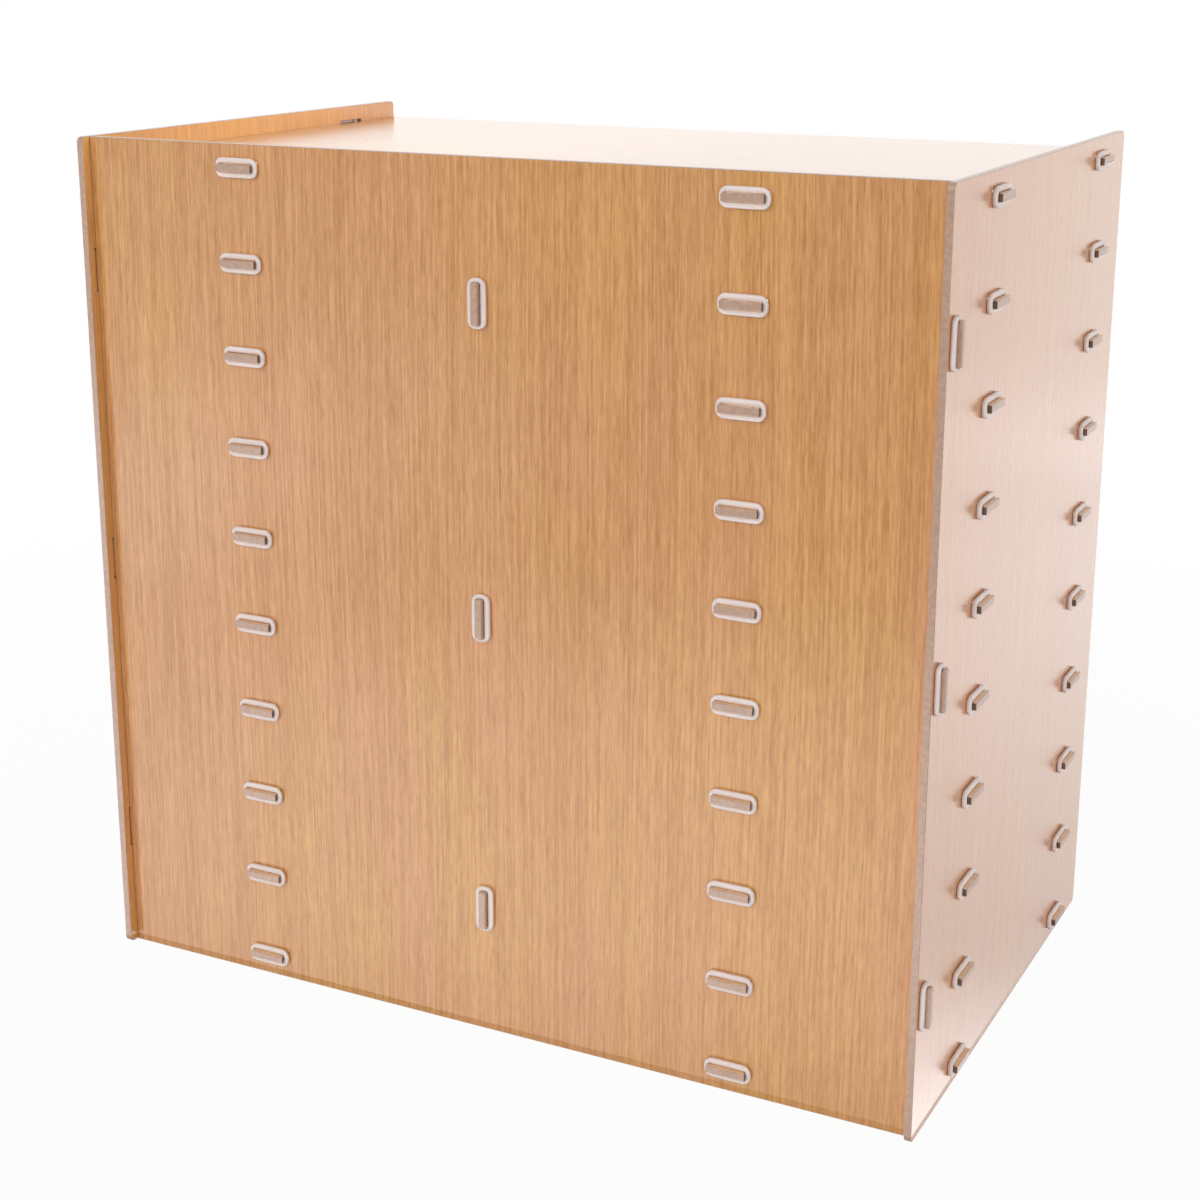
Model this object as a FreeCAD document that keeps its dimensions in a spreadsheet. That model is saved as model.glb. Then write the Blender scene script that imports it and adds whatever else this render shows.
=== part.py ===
import FreeCAD, Part
import os

import Sketcher

# Desktop document sorter: thin boards that slot together and are locked by elastic rings.
# Frame: X across, Y from the open front (minus) to the back (plus), Z up from the floor.

# Driving sizes, in millimetres or counts: name, value, meaning
SIZES = [
    ("overall_width", 500, "over the outer faces of the side panels"),
    ("overall_depth", 320, "front edge to rear edge of a side panel"),
    ("board_thickness", 4, "every board and panel"),
    ("row_count", 9, "compartments one above the other"),
    ("shelf_pitch", 51, "underside of one board to underside of the next"),
    ("floor_gap", 10.5, "floor to the underside of the bottom board"),
    ("top_upstand", 10.5, "how far the panels rise above the top board"),
    ("panel_corner_radius", 3.5, "corners of the side panels"),
    ("back_inset", 6, "rear edge of a side panel to the back panel's outer face"),
    ("rear_column_inset", 71, "rear edge of a side panel to its rear column of tabs"),
    ("front_column_inset", 53, "front edge of a side panel to its front column of tabs"),
    ("back_column_inset", 103.5, "outer face of a side panel to the nearer column on the back"),
    ("upright_tab_inset", 74, "panel end to the centre of the nearest upright tab"),
    ("upright_tab_count", 3, "upright tabs, one above the other"),
    ("tab_width", 22.4, "across the head of a tab"),
    ("tab_head_length", 2, "head of a tab, beyond its notches"),
    ("level_corner_radius", 0.5, "outer corners of a level board's tabs"),
    ("upright_corner_radius", 1.2, "outer corners of an upright board's tabs"),
    ("notch_depth", 0.9, "notch in each side of a tab"),
    ("notch_play", 0.3, "notch longer than the ring's cord is thick"),
    ("slot_play_along", 2, "slot longer than the tab is wide"),
    ("slot_play_across", 1.5, "slot wider than the board is thick"),
    ("halving_play", 0.3, "halving slot wider than the board is thick"),
    ("seat_gap", 0.1, "between a board's edge and the face it butts against"),
    ("cord_diameter", 2.7, "round cord of an elastic ring"),
    ("ring_bend_radius", 1.5, "inside of a ring's corner"),
    ("ring_bow", 0.7, "between a tab's face and the long side of its ring"),
    ("ring_clearance", 0.02, "between a ring and the notch and panel it lies on"),
]

# Sizes that follow from the driving ones: name, formula
DERIVED = [
    ("side_inner", "sizes.overall_width / 2 - sizes.board_thickness"),
    ("board_side", "side_inner - sizes.seat_gap"),
    ("front_edge", "-sizes.overall_depth / 2"),
    ("back_outer", "sizes.overall_depth / 2 - sizes.back_inset"),
    ("back_inner", "back_outer - sizes.board_thickness"),
    ("back_middle", "back_outer - sizes.board_thickness / 2"),
    ("board_rear", "back_inner - sizes.seat_gap"),
    ("halving_end", "(front_edge + board_rear) / 2"),
    ("halving_half", "(sizes.board_thickness + sizes.halving_play) / 2"),
    ("stack_height", "sizes.row_count * sizes.shelf_pitch"),
    ("board_middle", "sizes.floor_gap + sizes.board_thickness / 2"),
    ("divider_foot", "sizes.floor_gap + sizes.board_thickness"),
    ("divider_top", "sizes.floor_gap + stack_height - sizes.seat_gap"),
    ("panel_height", "divider_foot + stack_height + sizes.top_upstand"),
    ("upright_span", "panel_height - 2 * sizes.upright_tab_inset"),
    ("back_column", "sizes.overall_width / 2 - sizes.back_column_inset"),
    ("rear_column", "sizes.overall_depth / 2 - sizes.rear_column_inset"),
    ("front_column", "front_edge + sizes.front_column_inset"),
    ("tab_half", "sizes.tab_width / 2"),
    ("neck_half", "tab_half - sizes.notch_depth"),
    ("notch_length", "sizes.cord_diameter + sizes.notch_play"),
    ("tab_reach", "notch_length + sizes.tab_head_length"),
    ("slot_half", "tab_half + sizes.slot_play_along / 2"),
    ("upright_slot_half", "(sizes.board_thickness + sizes.slot_play_across) / 2"),
    ("cord_radius", "sizes.cord_diameter / 2"),
    ("ring_corner", "sizes.ring_bend_radius + cord_radius"),
    ("ring_short", "sizes.board_thickness / 2 + sizes.ring_bow + cord_radius"),
    # A ring's four corners bend round the four edges of the tab's neck.
    ("bend_reach", "sizes.ring_bend_radius - sizes.ring_clearance"),
    ("bend_rise", "sizes.ring_bend_radius - sizes.ring_bow"),
    ("ring_long", "neck_half + ring_corner - sqrt(bend_reach ^ 2 - bend_rise ^ 2)"),
    ("ring_standoff", "cord_radius + sizes.ring_clearance"),
]

SAME_POINT = 1e-6  # two points closer than this are one

doc = FreeCAD.newDocument("document_sorter")


def fill_sheet(name, rows, as_text):
    """A spreadsheet with one named value on each row."""
    sheet = doc.addObject("Spreadsheet::Sheet", name)
    for line, row in enumerate(rows, start=1):
        sheet.set(f"A{line}", row[0])
        sheet.set(f"B{line}", as_text(row[1]))
        sheet.setAlias(f"B{line}", row[0])
        sheet.set(f"C{line}", " ".join(row[2:]))
    doc.recompute()
    return sheet


sizes = fill_sheet("sizes", SIZES, str)
derived = fill_sheet("derived", DERIVED, "={}".format)


def value(expression):
    """The number that an expression on the sheets gives."""
    return float(derived.evalExpression(expression))


def new_body(label, base=("0", "0", "0"), loose_solids=False):
    """An empty piece whose placement follows the sheets."""
    body = doc.addObject("PartDesign::Body", label)
    body.Label = label
    body.AllowCompound = loose_solids
    for axis, expression in zip("xyz", base):
        body.setExpression(f"Placement.Base.{axis}", expression)
    return body


def origin_feature(body, role):
    """The body's own origin plane or axis with this role."""
    return next(f for f in body.Origin.OriginFeatures if f.Role == role)


def new_sketch(body, plane, name):
    """An empty sketch on one of the body's origin planes."""
    sketch = body.newObject("Sketcher::SketchObject", name)
    sketch.AttachmentSupport = (origin_feature(body, plane), [""])
    sketch.MapMode = "FlatFace"
    return sketch


def constrain(sketch, constraints):
    """Add constraints, each with the expression that its value follows, or None."""
    indices = sketch.addConstraint([constraint for constraint, _ in constraints])
    for index, (_, expression) in zip(indices, constraints):
        if expression is not None:
            sketch.setExpression(f"Constraints[{index}]", expression)


def held_at(geometry, point, x, y):
    """Constraints that hold a point of a sketch's geometry at two expressions."""
    return [
        (Sketcher.Constraint("DistanceX", -1, 1, geometry, point, value(x)), x),
        (Sketcher.Constraint("DistanceY", -1, 1, geometry, point, value(y)), y),
    ]


def radius_of(geometry, radius):
    """The constraint that gives an arc or a circle its radius."""
    return (Sketcher.Constraint("Radius", geometry, value(radius)), radius)


def joints_of(corners):
    """The ends of an outline's straight sides, as (x, y, radius of the arc that starts there).

    Sides run along the sketch's axes. A corner with a radius gives two ends with an arc between.
    """
    places = [(value(corner[0]), value(corner[1])) for corner in corners]
    joints = []
    for i, corner in enumerate(corners):
        x, y = corner[:2]
        if len(corner) == 2:
            joints.append((x, y, None))
            continue
        radius = corner[2]
        before = places[i - 1]
        after = places[(i + 1) % len(places)]
        for other, arc in ((before, radius), (after, None)):
            steps = [(b > a) - (b < a) for a, b in zip(places[i], other)]
            joints.append((f"{x} + {radius} * {steps[0]}", f"{y} + {radius} * {steps[1]}", arc))
    return joints


def draw_outline(sketch, corners):
    """A closed outline through corners given as expressions, some of them with a radius."""
    joints = joints_of(corners)
    points = [FreeCAD.Vector(value(x), value(y), 0) for x, y, _ in joints]
    ends = []
    for i, (_, _, radius) in enumerate(joints):
        start = points[i]
        end = points[(i + 1) % len(points)]
        if radius is None:
            geometry = Part.LineSegment(start, end)
        else:
            geometry = rounded_corner(start, end, points[i - 1])
        index = sketch.addGeometry(geometry, False)
        forward = sketch.getPoint(index, 1).isEqual(start, SAME_POINT)
        ends.append((index, 1, 2) if forward else (index, 2, 1))
    constraints = []
    for i, (x, y, radius) in enumerate(joints):
        index, first, last = ends[i]
        following, next_first, _ = ends[(i + 1) % len(ends)]
        joined = Sketcher.Constraint("Coincident", index, last, following, next_first)
        constraints.append((joined, None))
        constraints += held_at(index, first, x, y)
        if radius is not None:
            constraints.append(radius_of(index, radius))
    constrain(sketch, constraints)


def rounded_corner(start, end, before):
    """A quarter circle from start to end that carries on the straight run from before."""
    run = (start - before).normalize()
    reach = (end - start).dot(run)
    middle = (start + end) / 2
    corner = start + run * reach
    outward = (corner - middle) * (2 ** 0.5 - 1)
    return Part.Arc(start, middle + outward, end)


def rectangle(left, low, right, high, radius=None):
    """The four corners of a rectangle, rounded where a radius is given."""
    corners = [(left, low), (right, low), (right, high), (left, high)]
    return [corner + (radius,) for corner in corners] if radius else corners


def swap(corners):
    """The same outline with its two axes exchanged."""
    return [(corner[1], corner[0]) + tuple(corner[2:]) for corner in corners]


def tab(centre, face, root, corner_radius):
    """Outline of a tab that passes through a panel, with two notches and a head outside it.

    The first axis runs along the board's edge and the second points out through the panel.
    """
    right, neck_right = f"{centre} + derived.tab_half", f"{centre} + derived.neck_half"
    left, neck_left = f"{centre} - derived.tab_half", f"{centre} - derived.neck_half"
    head = f"{face} + derived.notch_length"
    tip = f"{face} + derived.tab_reach"
    return [
        (right, root),
        (right, face),
        (neck_right, face),
        (neck_right, head),
        (right, head),
        (right, tip, corner_radius),
        (left, tip, corner_radius),
        (left, head),
        (neck_left, head),
        (neck_left, face),
        (left, face),
        (left, root),
    ]


def pad(body, plane, name, outlines):
    """Boards and tabs: outlines raised by the board's thickness along the sketch's normal."""
    sketch = new_sketch(body, plane, f"{name}_outline")
    for corners in outlines:
        draw_outline(sketch, corners)
    feature = body.newObject("PartDesign::Pad", name)
    feature.Profile = sketch
    feature.setExpression("Length", "sizes.board_thickness")
    doc.recompute()
    return feature


def cut(body, plane, name, outlines):
    """Slots: outlines cut right through the board."""
    uncut = body.Shape.Volume
    sketch = new_sketch(body, plane, f"{name}_outline")
    for corners in outlines:
        draw_outline(sketch, corners)
    feature = body.newObject("PartDesign::Pocket", name)
    feature.Profile = sketch
    feature.Type = "ThroughAll"
    feature.Reversed = True
    doc.recompute()
    if body.Shape.Volume >= uncut:
        raise RuntimeError(f"{name} of {body.Label} cuts nothing")
    return feature


def repeat_up(body, name, feature, span, count):
    """Copies of a feature, evenly spaced up the body over a span."""
    pattern = body.newObject("PartDesign::LinearPattern", name)
    pattern.Originals = [feature]
    pattern.Direction = (origin_feature(body, "Z_Axis"), [""])
    pattern.setExpression("Length", span)
    pattern.setExpression("Occurrences", count)
    body.Tip = pattern
    doc.recompute()


def mirror_across(body, name, feature):
    """The feature's mirror image on the other side of the middle."""
    mirrored = body.newObject("PartDesign::Mirrored", name)
    mirrored.Originals = [feature]
    mirrored.MirrorPlane = (origin_feature(body, "YZ_Plane"), [""])
    body.Tip = mirrored
    doc.recompute()


# Spans and counts of what repeats up the sorter
ROWS = ("derived.stack_height", "sizes.row_count + 1")
SHELVES = ("derived.stack_height - 2 * sizes.shelf_pitch", "sizes.row_count - 1")
UPRIGHTS = ("derived.upright_span", "sizes.upright_tab_count")
SLOT_TOP = "sizes.floor_gap + sizes.board_thickness + sizes.slot_play_across"


def level_slot(centre):
    """Slot for the tab of the bottom board, which rests on the slot's lower edge."""
    left, right = f"{centre} - derived.slot_half", f"{centre} + derived.slot_half"
    return rectangle(left, "sizes.floor_gap", right, SLOT_TOP)


def upright_slot(centre):
    """Slot for the lowest upright tab, centred on it."""
    left, right = f"{centre} - derived.upright_slot_half", f"{centre} + derived.upright_slot_half"
    low = "sizes.upright_tab_inset - derived.slot_half"
    high = "sizes.upright_tab_inset + derived.slot_half"
    return rectangle(left, low, right, high)


def horizontal_board(label, level, halved):
    """A full-width board with two tabs on its rear edge and two on each side edge."""
    body = new_body(label, ("0", "0", f"sizes.floor_gap + {level} * sizes.shelf_pitch"))
    outline = rectangle("-derived.board_side", "derived.front_edge",
                        "derived.board_side", "derived.board_rear")
    pad(body, "XY_Plane", f"{label}_board", [outline])
    side_root = "derived.board_side - sizes.board_thickness"
    rear_root = "derived.board_rear - sizes.board_thickness"
    radius = "sizes.level_corner_radius"
    tabs = [swap(tab(f"derived.{column}", "sizes.overall_width / 2", side_root, radius))
            for column in ("front_column", "rear_column")]
    tabs.append(tab("derived.back_column", "derived.back_outer", rear_root, radius))
    right_tabs = pad(body, "XY_Plane", f"{label}_tabs", tabs)
    mirror_across(body, f"{label}_other_tabs", right_tabs)
    if halved:
        slot = rectangle("-derived.halving_half", "derived.halving_end - sizes.halving_play / 2",
                         "derived.halving_half", "derived.board_rear + sizes.board_thickness")
        cut(body, "XY_Plane", f"{label}_halving_slot", [slot])
    return body


def side_panel(label, left_face):
    """A side panel with two columns of slots for the boards and one of upright slots at the rear."""
    body = new_body(label, (left_face, "0", "0"))
    outline = rectangle("derived.front_edge", "0",
                        "-derived.front_edge", "derived.panel_height", "sizes.panel_corner_radius")
    pad(body, "YZ_Plane", f"{label}_board", [outline])
    columns = [level_slot(f"derived.{column}") for column in ("front_column", "rear_column")]
    slots = cut(body, "YZ_Plane", f"{label}_slots", columns)
    repeat_up(body, f"{label}_slot_rows", slots, *ROWS)
    back_slots = cut(body, "YZ_Plane", f"{label}_upright_slot", [upright_slot("derived.back_middle")])
    repeat_up(body, f"{label}_upright_slots", back_slots, *UPRIGHTS)
    return body


def back_panel():
    """The back panel, between the side panels, with upright tabs on both its side edges."""
    body = new_body("back_panel", ("0", "derived.back_outer", "0"))
    outline = rectangle("-derived.board_side", "0", "derived.board_side", "derived.panel_height")
    pad(body, "XZ_Plane", "back_board", [outline])
    root = "derived.board_side - sizes.board_thickness"
    right_tab = tab("sizes.upright_tab_inset", "sizes.overall_width / 2", root,
                    "sizes.upright_corner_radius")
    left_tab = [(corner[0], f"-({corner[1]})") + tuple(corner[2:]) for corner in right_tab]
    tabs = pad(body, "XZ_Plane", "back_tabs", [swap(right_tab), swap(left_tab)])
    repeat_up(body, "back_tab_rows", tabs, *UPRIGHTS)
    columns = [level_slot(f"{side}derived.back_column") for side in ("", "-")]
    slots = cut(body, "XZ_Plane", "back_slots", columns)
    repeat_up(body, "back_slot_rows", slots, *ROWS)
    divider_slots = cut(body, "XZ_Plane", "back_divider_slot", [upright_slot("0")])
    repeat_up(body, "back_divider_slots", divider_slots, *UPRIGHTS)
    return body


def centre_divider():
    """The upright divider: slots for the shelves in its front half, tabs through the back panel."""
    body = new_body("centre_divider", ("-sizes.board_thickness / 2", "0", "0"))
    outline = rectangle("derived.front_edge", "derived.divider_foot",
                        "derived.board_rear", "derived.divider_top")
    pad(body, "YZ_Plane", "divider_board", [outline])
    root = "derived.board_rear - sizes.board_thickness"
    lowest_tab = tab("sizes.upright_tab_inset", "derived.back_outer", root,
                     "sizes.upright_corner_radius")
    tabs = pad(body, "YZ_Plane", "divider_tab", [swap(lowest_tab)])
    repeat_up(body, "divider_tabs", tabs, *UPRIGHTS)
    shelf = "derived.board_middle + sizes.shelf_pitch"
    slot = rectangle("derived.front_edge - sizes.board_thickness", f"{shelf} - derived.halving_half",
                     "derived.halving_end + sizes.halving_play / 2", f"{shelf} + derived.halving_half")
    slots = cut(body, "YZ_Plane", "divider_slot", [slot])
    repeat_up(body, "divider_slots", slots, *SHELVES)
    return body


def ring_column(label, plane, upright, place, rows):
    """Elastic rings one above the other, each round the neck of a tab."""
    body = new_body(label, place, loose_solids=True)
    path = new_sketch(body, plane, f"{label}_path")
    outline = rectangle("-derived.ring_long", "-derived.ring_short",
                        "derived.ring_long", "derived.ring_short", "derived.ring_corner")
    draw_outline(path, swap(outline) if upright else outline)
    # The cord's section stands across the middle of a long side of the ring.
    if upright:
        section_plane = "XY_Plane"
        across = ("derived.ring_short", "0") if plane == "XZ_Plane" else ("0", "derived.ring_short")
    else:
        section_plane = "YZ_Plane" if plane == "XZ_Plane" else "XZ_Plane"
        across = ("0", "derived.ring_short")
    section = new_sketch(body, section_plane, f"{label}_section")
    centre = FreeCAD.Vector(value(across[0]), value(across[1]), 0)
    outline = Part.Circle(centre, FreeCAD.Vector(0, 0, 1), value("derived.cord_radius"))
    circle = section.addGeometry(outline, False)
    constrain(section, held_at(circle, 3, *across) + [radius_of(circle, "derived.cord_radius")])
    doc.recompute()
    ring = body.newObject("PartDesign::AdditivePipe", f"{label}_ring")
    ring.Profile = section
    ring.Spine = path
    doc.recompute()
    repeat_up(body, f"{label}_rows", ring, *rows)
    return body


def all_rings():
    """Three columns of rings on the back and three on each side."""
    level, upright = "derived.board_middle", "sizes.upright_tab_inset"
    back_face = "derived.back_outer + derived.ring_standoff"
    columns = [("divider_rings", "XZ_Plane", True, ("0", back_face, upright), UPRIGHTS)]
    for side, sign in (("left", "-"), ("right", "")):
        place = (f"{sign}derived.back_column", back_face, level)
        columns.append((f"back_{side}_rings", "XZ_Plane", False, place, ROWS))
        face = f"{sign}(sizes.overall_width / 2 + derived.ring_standoff)"
        for column in ("front", "rear"):
            place = (face, f"derived.{column}_column", level)
            columns.append((f"{side}_{column}_rings", "YZ_Plane", False, place, ROWS))
        place = (face, "derived.back_middle", upright)
        columns.append((f"{side}_back_panel_rings", "YZ_Plane", True, place, UPRIGHTS))
    return [ring_column(*column) for column in columns]


row_count = int(value("sizes.row_count"))
pieces = [
    side_panel("left_side_panel", "-sizes.overall_width / 2"),
    side_panel("right_side_panel", "derived.side_inner"),
    back_panel(),
    centre_divider(),
    horizontal_board("bottom_board", 0, halved=False),
]
for level in range(1, row_count):
    pieces.append(horizontal_board(f"shelf_{level}", level, halved=True))
pieces.append(horizontal_board("top_board", row_count, halved=False))
pieces += all_rings()
doc.recompute()

# Every object has to be sound, and a board one solid, before any file is written.
for item in doc.Objects:
    if {"Invalid", "Error"} & set(item.State):
        raise RuntimeError(f"{item.Label} failed: {item.State}")
for piece in pieces:
    shape = piece.Shape
    if shape.isNull() or not shape.isValid():
        raise RuntimeError(f"{piece.Label} has no valid shape")
    if not piece.AllowCompound and len(shape.Solids) != 1:
        raise RuntimeError(f"{piece.Label} has {len(shape.Solids)} solids")

os.makedirs("parts", exist_ok=True)
for piece in pieces:
    piece.Shape.exportStep(f"parts/{piece.Label}.step")
    print(f"{piece.Label}: {len(piece.Shape.Solids)} solids, {piece.Shape.Volume:.0f} mm3")
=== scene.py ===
import math
import random

import bmesh
import bpy
from mathutils import Matrix, Vector


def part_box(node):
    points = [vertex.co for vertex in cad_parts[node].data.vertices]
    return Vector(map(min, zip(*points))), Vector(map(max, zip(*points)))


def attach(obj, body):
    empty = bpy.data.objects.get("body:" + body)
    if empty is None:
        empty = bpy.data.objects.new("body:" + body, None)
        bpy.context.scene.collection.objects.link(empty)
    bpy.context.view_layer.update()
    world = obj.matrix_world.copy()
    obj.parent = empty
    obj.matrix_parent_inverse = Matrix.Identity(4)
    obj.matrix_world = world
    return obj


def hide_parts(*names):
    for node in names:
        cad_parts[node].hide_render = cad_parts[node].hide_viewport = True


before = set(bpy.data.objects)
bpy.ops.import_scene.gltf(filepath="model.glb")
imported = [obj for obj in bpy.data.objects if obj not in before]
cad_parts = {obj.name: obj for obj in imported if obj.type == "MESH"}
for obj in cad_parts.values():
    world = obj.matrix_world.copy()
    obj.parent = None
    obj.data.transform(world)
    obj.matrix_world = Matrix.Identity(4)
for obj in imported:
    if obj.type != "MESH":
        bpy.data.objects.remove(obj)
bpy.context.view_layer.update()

# The side panels
# Two upright panels of 4 mm fibreboard with an oak foil pressed on both faces, the grain upright.
# The saw leaves their edges and slots raw and takes the corners off a little.
EDGE_ROUNDING = 0.00035
EDGE_SEGMENTS = 2
SAME_POINT = 1e-6
FLAT_ANGLE = math.radians(1)
SHARP_ANGLE = math.radians(30)
FACE_TURN = 0.9
FOIL, CORE = 0, 1
ACROSS_X, ACROSS_Y, ACROSS_Z = 0, 1, 2

# The printed oak: the width and length of each kind of mark, and its share in the shade
WAVE = (0.15, 0.40)
WAVE_REACH = 0.012
VEIN = (0.0013, 0.10)
VEIN_SHARE = 0.4
FIBRE = (0.0011, 0.026)
FIBRE_SHARE = 0.7
FLECK = (0.0009, 0.008)
FLECK_SHARE = 0.65
BAND = (0.016, 0.50)
BAND_SHARE = 0.35
PORE = (0.0007, 0.0075)
PORE_SHARE = 0.25
WARM_PATCH = (0.07, 0.24)
PALE_SHARE = 0.55
MIDDLE_SHADE = 0.5
SIDE_CONTRAST = 0.5
GOLDEN_GROUND = ((222, 169, 102), (220, 163, 112))
# The left side panel's rosier, bluer ground is painted sheen: the tint of the white shine that panel
# catches, laid over the golden foil.
SHEEN_TINTED_GROUND = ((219, 164, 122), (218, 160, 130))
DARK_LINE = (183, 124, 67)
GRAIN_DEPTH = 0.00005
FOIL_IOR = 1.30
FOIL_ROUGHNESS = 0.30
PORE_ROUGHNESS = 0.10
LACQUER_ROUGHNESS = 0.21

# The raw edge of the board
EDGE_PALE = (184, 150, 128)
EDGE_BROWN = (171, 136, 114)
EDGE_CHIP = (148, 114, 93)
CHIP_SHARE = 0.25
CHIP_DEPTH = 0.00010


class Value:
    """A node's output that can stand in sums: each sign adds one Math node to its tree."""

    def __init__(self, tree, socket=None):
        self.tree = tree
        self.socket = socket

    def node(self, kind, settings=None, inputs=None, output=0):
        """Any other node: its settings first, then the values or links of its sockets."""
        made = self.tree.nodes.new(kind)
        for name, setting in (settings or {}).items():
            setattr(made, name, setting)
        for name, given in (inputs or {}).items():
            if isinstance(given, Value):
                self.tree.links.new(given.socket, made.inputs[name])
            else:
                made.inputs[name].default_value = given
        return Value(self.tree, made.outputs[output])

    def other(self, name):
        """Another output of the same node."""
        return Value(self.tree, self.socket.node.outputs[name])

    def maths(self, operation, first, second):
        return self.node("ShaderNodeMath", {"operation": operation}, {0: first, 1: second})

    def __add__(self, other):
        return self.maths("ADD", self, other)

    def __sub__(self, other):
        return self.maths("SUBTRACT", self, other)

    def __rsub__(self, other):
        return self.maths("SUBTRACT", other, self)

    def __mul__(self, other):
        return self.maths("MULTIPLY", self, other)

    __radd__ = __add__
    __rmul__ = __mul__

    def within(self, low, high):
        """0 below the low value, 1 above the high one, with a soft step between them."""
        return self.node("ShaderNodeMapRange", {"interpolation_type": "SMOOTHSTEP"},
                         {"Value": self, "From Min": low, "From Max": high})

    def blend(self, first, second):
        """From the first colour to the second as this value goes from 0 to 1."""
        return self.node("ShaderNodeMix", {"data_type": "RGBA"}, {0: self, 6: first, 7: second}, output=2)

    def clouds(self, scale, detail):
        """Noise at this place, with this many marks to a metre."""
        return self.node("ShaderNodeTexNoise", inputs={"Vector": self, "Scale": scale, "Detail": detail})

    def relief(self, strength, depth):
        """The surface's direction where this value is its height."""
        return self.node("ShaderNodeBump", inputs={"Height": self, "Strength": strength, "Distance": depth},
                         output="Normal")


def colour(screen):
    """A surface colour from its 0 to 255 values on the screen."""
    def linear(part):
        part /= 255
        return part / 12.92 if part <= 0.04045 else ((part + 0.055) / 1.055) ** 2.4
    return tuple(linear(part) for part in screen) + (1.0,)


def shader(name):
    """A new material, its main shader node and the place on the object that its pattern reads."""
    material = bpy.data.materials.new(name)
    material.use_nodes = True
    place = Value(material.node_tree).node("ShaderNodeTexCoord", output="Object")
    return material, material.node_tree.nodes["Principled BSDF"], place


def feed(principled, inputs):
    """Links or sets the sockets of a main shader node."""
    for name, given in inputs.items():
        if isinstance(given, Value):
            given.tree.links.new(given.socket, principled.inputs[name])
        else:
            principled.inputs[name].default_value = given


def wood_noise(across, along, layer, mark, detail=0.0):
    """Noise in streaks of a mark's width and length, in metres, along the grain, another in each layer."""
    width, length = mark
    place = across.node("ShaderNodeCombineXYZ",
                        inputs={"X": across * (1 / width), "Y": along * (1 / length), "Z": layer * 1.37})
    return place.clouds(1.0, detail)


def oak_foil(name, across, along, sheet, contrast=1.0, ground=GOLDEN_GROUND):
    """Printed oak: fine long lines and short flecks in slow bands, each board cut from another place.

    Each kind of mark reads a layer of its own, counted from the board's sheet number.
    """
    material, principled, place = shader(name)
    axes = place.node("ShaderNodeSeparateXYZ", inputs={"Vector": place})
    u, v = axes.other(across), axes.other(along)
    line = u + (wood_noise(u, v, sheet, WAVE) - 0.5) * WAVE_REACH
    veins = wood_noise(line, v, sheet + 7, VEIN).within(0.25, 0.75)
    fibres = wood_noise(line, v, sheet + 11, FIBRE)
    flecks = wood_noise(line, v, sheet + 13, FLECK)
    bands = wood_noise(line, v, sheet + 17, BAND, 2.0)
    warmth = wood_noise(line, v, sheet + 23, WARM_PATCH, 1.0)
    pores = wood_noise(line, v, sheet + 29, PORE).within(0.66, 0.78)
    fine = veins * VEIN_SHARE + fibres * FIBRE_SHARE + flecks * FLECK_SHARE
    dark = fine + bands * BAND_SHARE + pores * PORE_SHARE - PALE_SHARE
    shade = (dark - MIDDLE_SHADE) * contrast + MIDDLE_SHADE
    pale_line = warmth.within(0.36, 0.64).blend(colour(ground[0]), colour(ground[1]))
    grain = (1 - (fibres + pores)).relief(0.15, GRAIN_DEPTH)
    feed(principled, {"Base Color": shade.blend(pale_line, colour(DARK_LINE)), "Normal": grain,
                      "Roughness": pores * PORE_ROUGHNESS + FOIL_ROUGHNESS, "IOR": FOIL_IOR,
                      "Coat Weight": 1.0, "Coat IOR": FOIL_IOR, "Coat Roughness": LACQUER_ROUGHNESS})
    return material


def raw_edge():
    """Sawn fibreboard: pale brown, finely mottled, with the dull shine of a clean cut."""
    material, principled, place = shader("raw_fibreboard")
    clouds = place.clouds(420.0, 3.0)
    chips = place.clouds(1700.0, 2.0)
    base = clouds.within(0.32, 0.68).blend(colour(EDGE_PALE), colour(EDGE_BROWN))
    spotted = (chips.within(0.50, 0.72) * CHIP_SHARE).blend(base, colour(EDGE_CHIP))
    feed(principled, {"Base Color": spotted, "Roughness": clouds * 0.10 + 0.30,
                      "Normal": chips.relief(0.12, CHIP_DEPTH), "IOR": 1.5,
                      "Coat Weight": 0.25, "Coat IOR": 1.45, "Coat Roughness": 0.12})
    return material


def board_mesh(node, across):
    """The CAD board's own shape with softened edges, foil on its two faces and core elsewhere."""
    bm = bmesh.new()
    bm.from_mesh(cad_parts[node].data)
    bmesh.ops.remove_doubles(bm, verts=bm.verts, dist=SAME_POINT)
    bmesh.ops.dissolve_limit(bm, verts=bm.verts, edges=bm.edges, angle_limit=FLAT_ANGLE)
    for face in bm.faces:
        face.smooth = False
        face.material_index = FOIL if abs(face.normal[across]) > FACE_TURN else CORE
    sharp = [edge for edge in bm.edges if edge.calc_face_angle(0) > SHARP_ANGLE]
    softened = bmesh.ops.bevel(bm, geom=sharp, affect="EDGES", offset=EDGE_ROUNDING,
                               segments=EDGE_SEGMENTS, profile=0.5, material=-1)
    for face in softened["faces"]:
        face.material_index = CORE
        face.smooth = True
    mesh = bpy.data.meshes.new(node)
    bm.to_mesh(mesh)
    bm.free()
    return mesh


def place_piece(name, mesh, node):
    """Puts a new piece in the place of its CAD node."""
    piece = bpy.data.objects.new(name, mesh)
    bpy.context.collection.objects.link(piece)
    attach(piece, "root")
    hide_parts(node)
    return piece


def place_board(node, across, foil):
    """Puts a softened board with its foil and its raw edges in the place of its CAD node."""
    mesh = board_mesh(node, across)
    mesh.materials.append(foil)
    mesh.materials.append(fibreboard)
    return place_piece(f"oak_{node}", mesh, node)


fibreboard = raw_edge()
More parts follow.
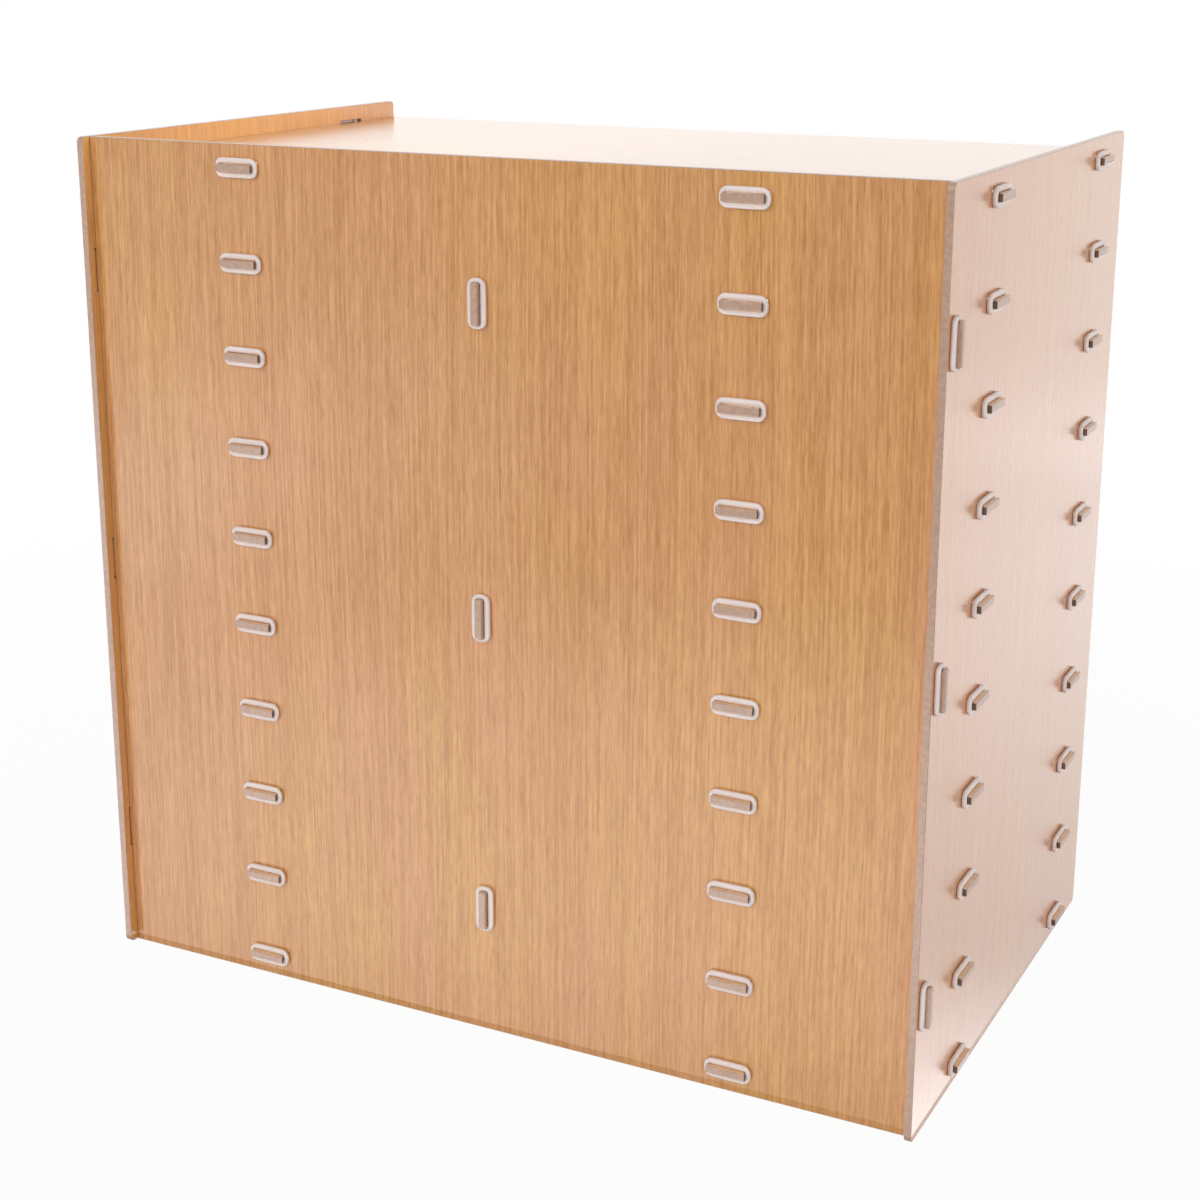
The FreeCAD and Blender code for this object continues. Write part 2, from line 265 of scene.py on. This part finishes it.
# The left panel takes the rosier ground, painted sheen.
for sheet, side, ground in ((41, "left", SHEEN_TINTED_GROUND), (67, "right", GOLDEN_GROUND)):
    foil = oak_foil(f"oak_foil_{side}_side", "Y", "Z", sheet, SIDE_CONTRAST, ground)
    place_board(f"{side}_side_panel", ACROSS_X, foil)

# The back panel
# One wide upright panel of the same board, with a slot for each board's tab. Its own three tabs on either
# side go through the side panels, and the foil faces of these tabs take the raw edge's colour: painted
# shade and painted reflection of the rings.
TAB_START = 0.00001
SHORT_SIDE_TURN = 0.6
back_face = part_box("back_panel")[1][1]
side_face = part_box("right_side_panel")[1][0]


def finish_tabs(board, painted_light_foil, scorched_and_shaded=None):
    """Gives the foil faces of the tabs outside the panels another material, painted light, and their short
    sides the dark one, painted shade, when it is given.
    """
    bm = bmesh.new()
    bm.from_mesh(board.data)
    for point, normal in (((0, back_face, 0), (0, 1, 0)), ((side_face, 0, 0), (1, 0, 0)),
                          ((-side_face, 0, 0), (1, 0, 0))):
        bmesh.ops.bisect_plane(bm, geom=bm.verts[:] + bm.edges[:] + bm.faces[:], plane_co=point,
                               plane_no=normal, dist=SAME_POINT)
    for face in bm.faces:
        middle = face.calc_center_median()
        over_back = middle.y > back_face + TAB_START
        over_side = abs(middle.x) > side_face + TAB_START
        short_side = ((over_back and abs(face.normal.x) > SHORT_SIDE_TURN)
                      or (over_side and abs(face.normal.y) > SHORT_SIDE_TURN))
        if (over_back or over_side) and face.material_index == FOIL:
            face.material_index = painted_light_foil
        elif short_side and scorched_and_shaded is not None:
            face.material_index = scorched_and_shaded
    bm.to_mesh(board.data)
    bm.free()


back_foil = oak_foil("oak_foil_back", "X", "Z", 5)
# Its tabs' foil faces take the raw edge's colour: painted shade and painted reflection of the rings.
finish_tabs(place_board("back_panel", ACROSS_Y, back_foil), CORE)

# The centre divider
# An upright board in the middle, halved into the shelves from the back.
# Three tabs on its rear edge go through the back panel.
divider_foil = oak_foil("oak_foil_divider", "Y", "Z", 93)
# The foil faces of its tabs outside the back panel take the raw edge's colour: painted shade and painted
# reflection of the rings.
finish_tabs(place_board("centre_divider", ACROSS_X, divider_foil), CORE)

# The level boards
# The bottom, eight shelves and the top lie one above the other with the grain from side to side.
# Each rests with its tabs in the slots of the back and side panels. The short sides of the tabs' heads are
# painted dark brown, painted shade beside the rings over the scorch of the cut, and the foil on the heads
# is painted paler and glossier, a painted highlight for the light and the rings' reflection.
SHELVES = 8
LEVEL_SHEET = 120
LEVEL_STEP = 13
LEVEL_CONTRAST = 0.45
SCORCHED_AND_SHADED, PAINTED_SHEEN = 2, 3
# Painted shade, over the scorch of the cut, on the tabs' short sides.
SCORCH_AND_SHADE_BROWN = (112, 84, 66)
SCORCH_AND_SHADE_DARK = (92, 68, 54)
# Painted highlight: the paler foil of the tab heads.
PAINTED_SHEEN_PALE = (232, 188, 136)
PAINTED_SHEEN_TAN = (222, 174, 122)
TAB_HEAD_IOR = 1.6


def scorched_and_shaded_edge():
    """Dark brown on the tabs' short sides: painted shade beside the rings and panels, over the scorch of
    the cut.
    """
    material, principled, place = shader("scorched_and_shaded_fibreboard")
    scorch_and_shade = place.clouds(600.0, 2.0).within(0.35, 0.65)
    feed(principled, {"Base Color": scorch_and_shade.blend(colour(SCORCH_AND_SHADE_BROWN), colour(SCORCH_AND_SHADE_DARK)), "Roughness": 0.7})
    return material


def painted_sheen_foil():
    """The foil's middle colour, a little paler and glossier than on the panels: a painted highlight for the
    light and the rings' reflection on the tab heads.
    """
    material, principled, place = shader("painted_sheen_foil")
    clouds = place.clouds(500.0, 2.0)
    painted_sheen = clouds.within(0.35, 0.65).blend(colour(PAINTED_SHEEN_PALE), colour(PAINTED_SHEEN_TAN))
    feed(principled, {"Base Color": painted_sheen, "Roughness": clouds * 0.10 + 0.25, "IOR": TAB_HEAD_IOR,
                      "Coat Weight": 1.0, "Coat IOR": TAB_HEAD_IOR, "Coat Roughness": LACQUER_ROUGHNESS})
    return material


scorched_and_shaded_side = scorched_and_shaded_edge()
painted_sheen_face = painted_sheen_foil()
levels = ["bottom_board"] + [f"shelf_{row + 1}" for row in range(SHELVES)] + ["top_board"]
for row, node in enumerate(levels):
    foil = oak_foil(f"oak_foil_{node}", "Y", "X", LEVEL_SHEET + LEVEL_STEP * row, LEVEL_CONTRAST)
    board = place_board(node, ACROSS_Z, foil)
    board.data.materials.append(scorched_and_shaded_side)
    board.data.materials.append(painted_sheen_face)
    # Painted light on the tabs: paler, glossier foil on the heads as painted highlight, dark brown short
    # sides as painted shade over a scorched cut.
    finish_tabs(board, PAINTED_SHEEN, SCORCHED_AND_SHADED)

# The elastic rings
# A whitish silicone ring is stretched round the neck of every tab and holds the boards together.
# Its soft cord is pressed a little square between the tab and the panel, no two rings quite the same.
CORD_SIDES = 16
ROUND_STEPS = 64
QUARTER_STEPS = ROUND_STEPS // 4
END_STEPS = 2
BEND_STEPS = 7
LONG_STEPS = 7
END_CORD = 0.00292
SIDE_CORD = 0.0033
OUTER_BEND = 0.0044
INNER_BEND = 0.0003
SQUARENESS = 0.86
SIDE_BOW = 0.00012
LEAST_BOW, MOST_BOW = 0.2, 1.8
UNEVEN = 0.00008
UNEVEN_TURN = math.radians(0.4)
MILKY_PALE = (231, 219, 215)
MILKY_WARM = (224, 210, 206)
SKIN_DEPTH = 0.00004
LIGHT_REACH = (0.0012, 0.0009, 0.0007)
RING_SEED = 7


def loose_rings(node):
    """The lowest and highest corner of every ring in a CAD node, from the bottom up."""
    bm = bmesh.new()
    bm.from_mesh(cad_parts[node].data)
    bmesh.ops.remove_doubles(bm, verts=bm.verts, dist=SAME_POINT)
    left = set(bm.verts)
    corners = []
    while left:
        found = {left.pop()}
        to_search = list(found)
        while to_search:
            vert = to_search.pop()
            for edge in vert.link_edges:
                near = edge.other_vert(vert)
                if near in left:
                    left.remove(near)
                    found.add(near)
                    to_search.append(near)
        places = [vert.co for vert in found]
        low = Vector([min(place[axis] for place in places) for axis in range(3)])
        high = Vector([max(place[axis] for place in places) for axis in range(3)])
        corners.append((low, high))
    bm.free()
    return sorted(corners, key=lambda pair: pair[0].z)


def on_outline(turn, half_long, half_short, bend):
    """The point of a rounded outline that is this share of a whole turn round it.

    Each quarter has its steps along the short side, round the bend and along the long side.
    """
    quarter, step = divmod((turn % 1) * ROUND_STEPS, QUARTER_STEPS)
    if quarter % 2:
        step = QUARTER_STEPS - step
    long_start, short_end = half_long - bend, half_short - bend
    if step < END_STEPS:
        x, y = half_long, short_end * step / END_STEPS
    elif step < END_STEPS + BEND_STEPS:
        angle = math.pi / 2 * (step - END_STEPS) / BEND_STEPS
        x, y = long_start + bend * math.cos(angle), short_end + bend * math.sin(angle)
    else:
        x, y = long_start * (QUARTER_STEPS - step) / LONG_STEPS, half_short
    return Vector((-x if quarter in (1, 2) else x, -y if quarter in (2, 3) else y))


def squarer(share):
    """Moves a point of the cord's round section outwards, between a circle and a square."""
    return math.copysign(abs(share) ** SQUARENESS, share)


def stretched_ring(size, chance):
    """A ring of this length, height and thickness in its own plane, shaped from a round one."""
    wide, cord = 1.0, 0.25
    bm = bmesh.new()
    section = Matrix.Translation((wide, 0, 0)) @ Matrix.Rotation(math.pi / 2, 4, "X")
    bmesh.ops.create_circle(bm, segments=CORD_SIDES, radius=cord, matrix=section)
    bmesh.ops.spin(bm, geom=bm.edges[:], angle=2 * math.pi, axis=(0, 0, 1), cent=(0, 0, 0),
                   steps=ROUND_STEPS, use_merge=True)
    half_long, half_short, half_thick = size[0] / 2, size[1] / 2, size[2] / 2
    bow = SIDE_BOW * chance.uniform(LEAST_BOW, MOST_BOW)
    lean = UNEVEN / 2 * chance.uniform(-1, 1)
    for vert in bm.verts:
        x, y, z = vert.co
        turn = math.atan2(y, x) / (2 * math.pi)
        across = (squarer(max(-1, min(1, (math.hypot(x, y) - wide) / cord))) + 1) / 2
        outer = on_outline(turn, half_long, half_short - bow, OUTER_BEND)
        outer.y += math.copysign(bow * (1 - (outer.x / half_long) ** 2), outer.y)
        inner = on_outline(turn, half_long - END_CORD, half_short - SIDE_CORD, INNER_BEND)
        flat = inner.lerp(outer, across)
        vert.co = (flat.x, flat.y, squarer(z / cord) * half_thick + lean * flat.x / half_long)
    return bm


def place_rings(node, silicone, chance):
    """A softer ring in the place of each ring of a CAD node."""
    bm = bmesh.new()
    for low, high in loose_rings(node):
        size = high - low
        long_axis = max(range(3), key=lambda axis: size[axis])
        flat_axis = min(range(3), key=lambda axis: size[axis])
        short_axis = 3 - long_axis - flat_axis
        ring = stretched_ring([size[axis] for axis in (long_axis, short_axis, flat_axis)], chance)
        turn = Matrix.Rotation(UNEVEN_TURN * chance.uniform(-1, 1), 4, "Z")
        axes = Matrix.Identity(4)
        for column, axis in enumerate((long_axis, short_axis, flat_axis)):
            axes[0][column] = axes[1][column] = axes[2][column] = 0
            axes[axis][column] = 1
        shift = Vector((0, 0, 0))
        shift[long_axis] = UNEVEN * chance.uniform(-1, 1)
        shift[short_axis] = UNEVEN * chance.uniform(-1, 1)
        place = Matrix.Translation((low + high) / 2 + shift) @ axes @ turn
        bmesh.ops.transform(ring, matrix=place, verts=ring.verts)
        mesh = bpy.data.meshes.new("ring")
        ring.to_mesh(mesh)
        ring.free()
        bm.from_mesh(mesh)
        bpy.data.meshes.remove(mesh)
    bmesh.ops.recalc_face_normals(bm, faces=bm.faces)
    for face in bm.faces:
        face.smooth = True
    mesh = bpy.data.meshes.new(node)
    bm.to_mesh(mesh)
    bm.free()
    mesh.materials.append(silicone)
    place_piece(f"soft_{node}", mesh, node)


def soft_silicone():
    """Milky silicone, a little warmer in places, with a soft dull shine."""
    material, principled, place = shader("milky_silicone")
    dust = place.clouds(1400.0, 2.0)
    milky = place.clouds(35.0, 2.0).within(0.35, 0.65).blend(colour(MILKY_PALE), colour(MILKY_WARM))
    feed(principled, {"Base Color": milky, "Roughness": dust.within(0.40, 0.75) * 0.14 + 0.42,
                      "Normal": dust.relief(0.08, SKIN_DEPTH), "Subsurface Weight": 0.12,
                      "Subsurface Radius": LIGHT_REACH, "Subsurface Scale": 1.0})
    return material


silicone = soft_silicone()
chance = random.Random(RING_SEED)
ring_nodes = ["back_left_rings", "back_right_rings", "divider_rings"]
for side in ("left", "right"):
    ring_nodes += [f"{side}_front_rings", f"{side}_rear_rings", f"{side}_back_panel_rings"]
for node in ring_nodes:
    place_rings(node, silicone, chance)

# The floor
# A wide pale table top, white to the camera, that keeps the soft shadow of the sorter.
FLOOR_HALF = 9.0
FLOOR_GREY = (196, 196, 196)
SHADOW_START = 0.45
SHADOW_END = 1.3
NEAR_GLOW = 0.96
WHITE = (1, 1, 1, 1)


def flat_sheet(name, half, material):
    """A square sheet that lies level and isn't part of the object."""
    bm = bmesh.new()
    bmesh.ops.create_grid(bm, x_segments=1, y_segments=1, size=half)
    mesh = bpy.data.meshes.new(name)
    bm.to_mesh(mesh)
    bm.free()
    mesh.materials.append(material)
    flat = bpy.data.objects.new(name, mesh)
    bpy.context.collection.objects.link(flat)
    return flat


def seen_rays(tree):
    """1 on the rays from the camera, and from gloss and glass, and 0 on those that light the object."""
    camera_rays = Value(tree).node("ShaderNodeLightPath", output="Is Camera Ray")
    seen = camera_rays.maths("MAXIMUM", camera_rays, camera_rays.other("Is Glossy Ray"))
    return seen.maths("MAXIMUM", seen, camera_rays.other("Is Transmission Ray"))


def from_middle(place):
    """How far a place is from the object's own middle."""
    return place.node("ShaderNodeVectorMath", {"operation": "LENGTH"}, {0: place}, output="Value")


def white_floor():
    """Dull grey to the light and white to the camera, with a share of the grey near the sorter."""
    material, principled, place = shader("white_floor")
    feed(principled, {"Base Color": colour(FLOOR_GREY), "Roughness": 0.9, "Specular IOR Level": 0.0})
    tree = material.node_tree
    seen = seen_rays(tree)
    glow = seen.node("ShaderNodeEmission", inputs={"Color": WHITE, "Strength": 1.0}, output="Emission")
    away = from_middle(place).within(SHADOW_START, SHADOW_END)
    share = seen * (away * (1 - NEAR_GLOW) + NEAR_GLOW)
    grey = Value(tree, principled.outputs["BSDF"])
    both = seen.node("ShaderNodeMixShader", inputs={0: share, 1: grey, 2: glow}, output="Shader")
    tree.links.new(both.socket, tree.nodes["Material Output"].inputs["Surface"])
    return material


flat_sheet("floor", FLOOR_HALF, white_floor())

# The light
# Soft white light from all round, wide lamps behind the sorter and beside it, a bright wall and low
# lamps for its open front and its right side, and a narrow lamp over its top.
# White cards on the floor leave their shine on the lower foil.
WORLD_LEVEL = 0.42
CARD_COLOUR = (0.90, 0.94, 1.0, 1.0)
CARD_CORE = 0.25
world = bpy.data.worlds.new("white_room")
bpy.context.scene.world = world
world.use_nodes = True
backdrop = world.node_tree.nodes["Background"]
room_level = seen_rays(world.node_tree) * (1.0 - WORLD_LEVEL) + WORLD_LEVEL
world.node_tree.links.new(room_level.socket, backdrop.inputs["Strength"])
backdrop.inputs["Color"].default_value = WHITE


def soft_lamp(name, place, aim, size, level, spread=math.pi):
    """A lamp of this size, turned towards a point; at level 1 its face is as bright as white."""
    data = bpy.data.lights.new(name, "AREA")
    data.shape = "RECTANGLE"
    data.size, data.size_y = size
    data.spread = spread
    data.energy = math.pi * size[0] * size[1] * level
    lamp = bpy.data.objects.new(name, data)
    lamp.location = place
    lamp.rotation_euler = (Vector(aim) - Vector(place)).to_track_quat("-Z", "Y").to_euler()
    lamp.visible_camera = False
    bpy.context.collection.objects.link(lamp)


def shine_card(name, x, y, z, size, level):
    """A white card that fades to its edges and shows only in the shine of the foil.

    Each card lies at a height of its own, because two in one plane would hide parts of each other.
    """
    material = bpy.data.materials.new(name)
    material.use_nodes = True
    tree = material.node_tree
    place = Value(tree).node("ShaderNodeTexCoord", output="Object")
    strength = (1 - from_middle(place).within(CARD_CORE, 1.0)) * level
    glow = strength.node("ShaderNodeEmission", inputs={"Color": CARD_COLOUR, "Strength": strength},
                         output="Emission")
    clear = glow.node("ShaderNodeBsdfTransparent", output="BSDF")
    both = glow.node("ShaderNodeAddShader", inputs={0: glow, 1: clear}, output="Shader")
    tree.links.new(both.socket, tree.nodes["Material Output"].inputs["Surface"])
    card = flat_sheet(name, 1.0, material)
    card.location = (x, y, z)
    card.scale = (size[0] / 2, size[1] / 2, 1)
    for rays in ("camera", "diffuse", "transmission", "shadow"):
        setattr(card, f"visible_{rays}", False)


middle = (0, 0, 0.24)
soft_lamp("key_lamp", (1.1, 2.2, 1.7), middle, (1.4, 1.4), 4.2)
soft_lamp("back_lamp", (-1.0, 2.6, 0.8), middle, (1.2, 1.2), 3.3)
soft_lamp("side_lamp", (-2.2, 0.3, 0.7), middle, (1.4, 1.4), 2.2)
soft_lamp("front_wall", (0.25, -1.3, 0.65), (0.25, 0, 0.65), (3.3, 1.3), 0.325)
soft_lamp("rim_lamp", (-0.35, 0.0, 0.66), (0.246, 0, 0.479), (0.34, 0.05), 2.3, math.radians(30))
soft_lamp("low_front_lamp", (0.4, -1.5, 0.28), (0, 0, 0.28), (1.2, 0.36), 11.0)
soft_lamp("low_right_lamp", (1.8, -0.5, 0.26), (0.25, 0, 0.26), (1.1, 0.36), 6.5)
shine_card("near_card", 0.10, 0.45, 0.004, (1.6, 1.22), 3.3)
shine_card("left_card", 1.10, 0.95, 0.005, (1.4, 2.4), 3.8)
shine_card("far_card", 2.7, 3.0, 0.006, (3.0, 3.0), 2.2)
shine_card("side_card", -0.68, -0.80, 0.002, (1.2, 2.6), 0.58)

# The camera
# The photograph's view: from behind, over the sorter's left side, a little above it.
CAMERA_PLACE = (-0.53484, 1.07748, 0.58509)
CAMERA_YAW = 0.46655
CAMERA_PITCH = 0.26733
CAMERA_ROLL = 0.00249
CAMERA_LENS = 63.23
CAMERA_SENSOR = 36.0
CAMERA_SHIFT_Y = -0.0630
camera_data = bpy.data.cameras.new("camera")
camera_data.lens = CAMERA_LENS
camera_data.sensor_width = CAMERA_SENSOR
camera_data.shift_y = CAMERA_SHIFT_Y
camera = bpy.data.objects.new("camera", camera_data)
camera.matrix_world = (Matrix.Translation(CAMERA_PLACE) @ Matrix.Rotation(math.pi + CAMERA_YAW, 4, "Z")
                       @ Matrix.Rotation(math.pi / 2 - CAMERA_PITCH, 4, "X")
                       @ Matrix.Rotation(CAMERA_ROLL, 4, "Z"))
bpy.context.collection.objects.link(camera)
bpy.context.scene.camera = camera
bpy.context.scene.view_settings.view_transform = "Standard"
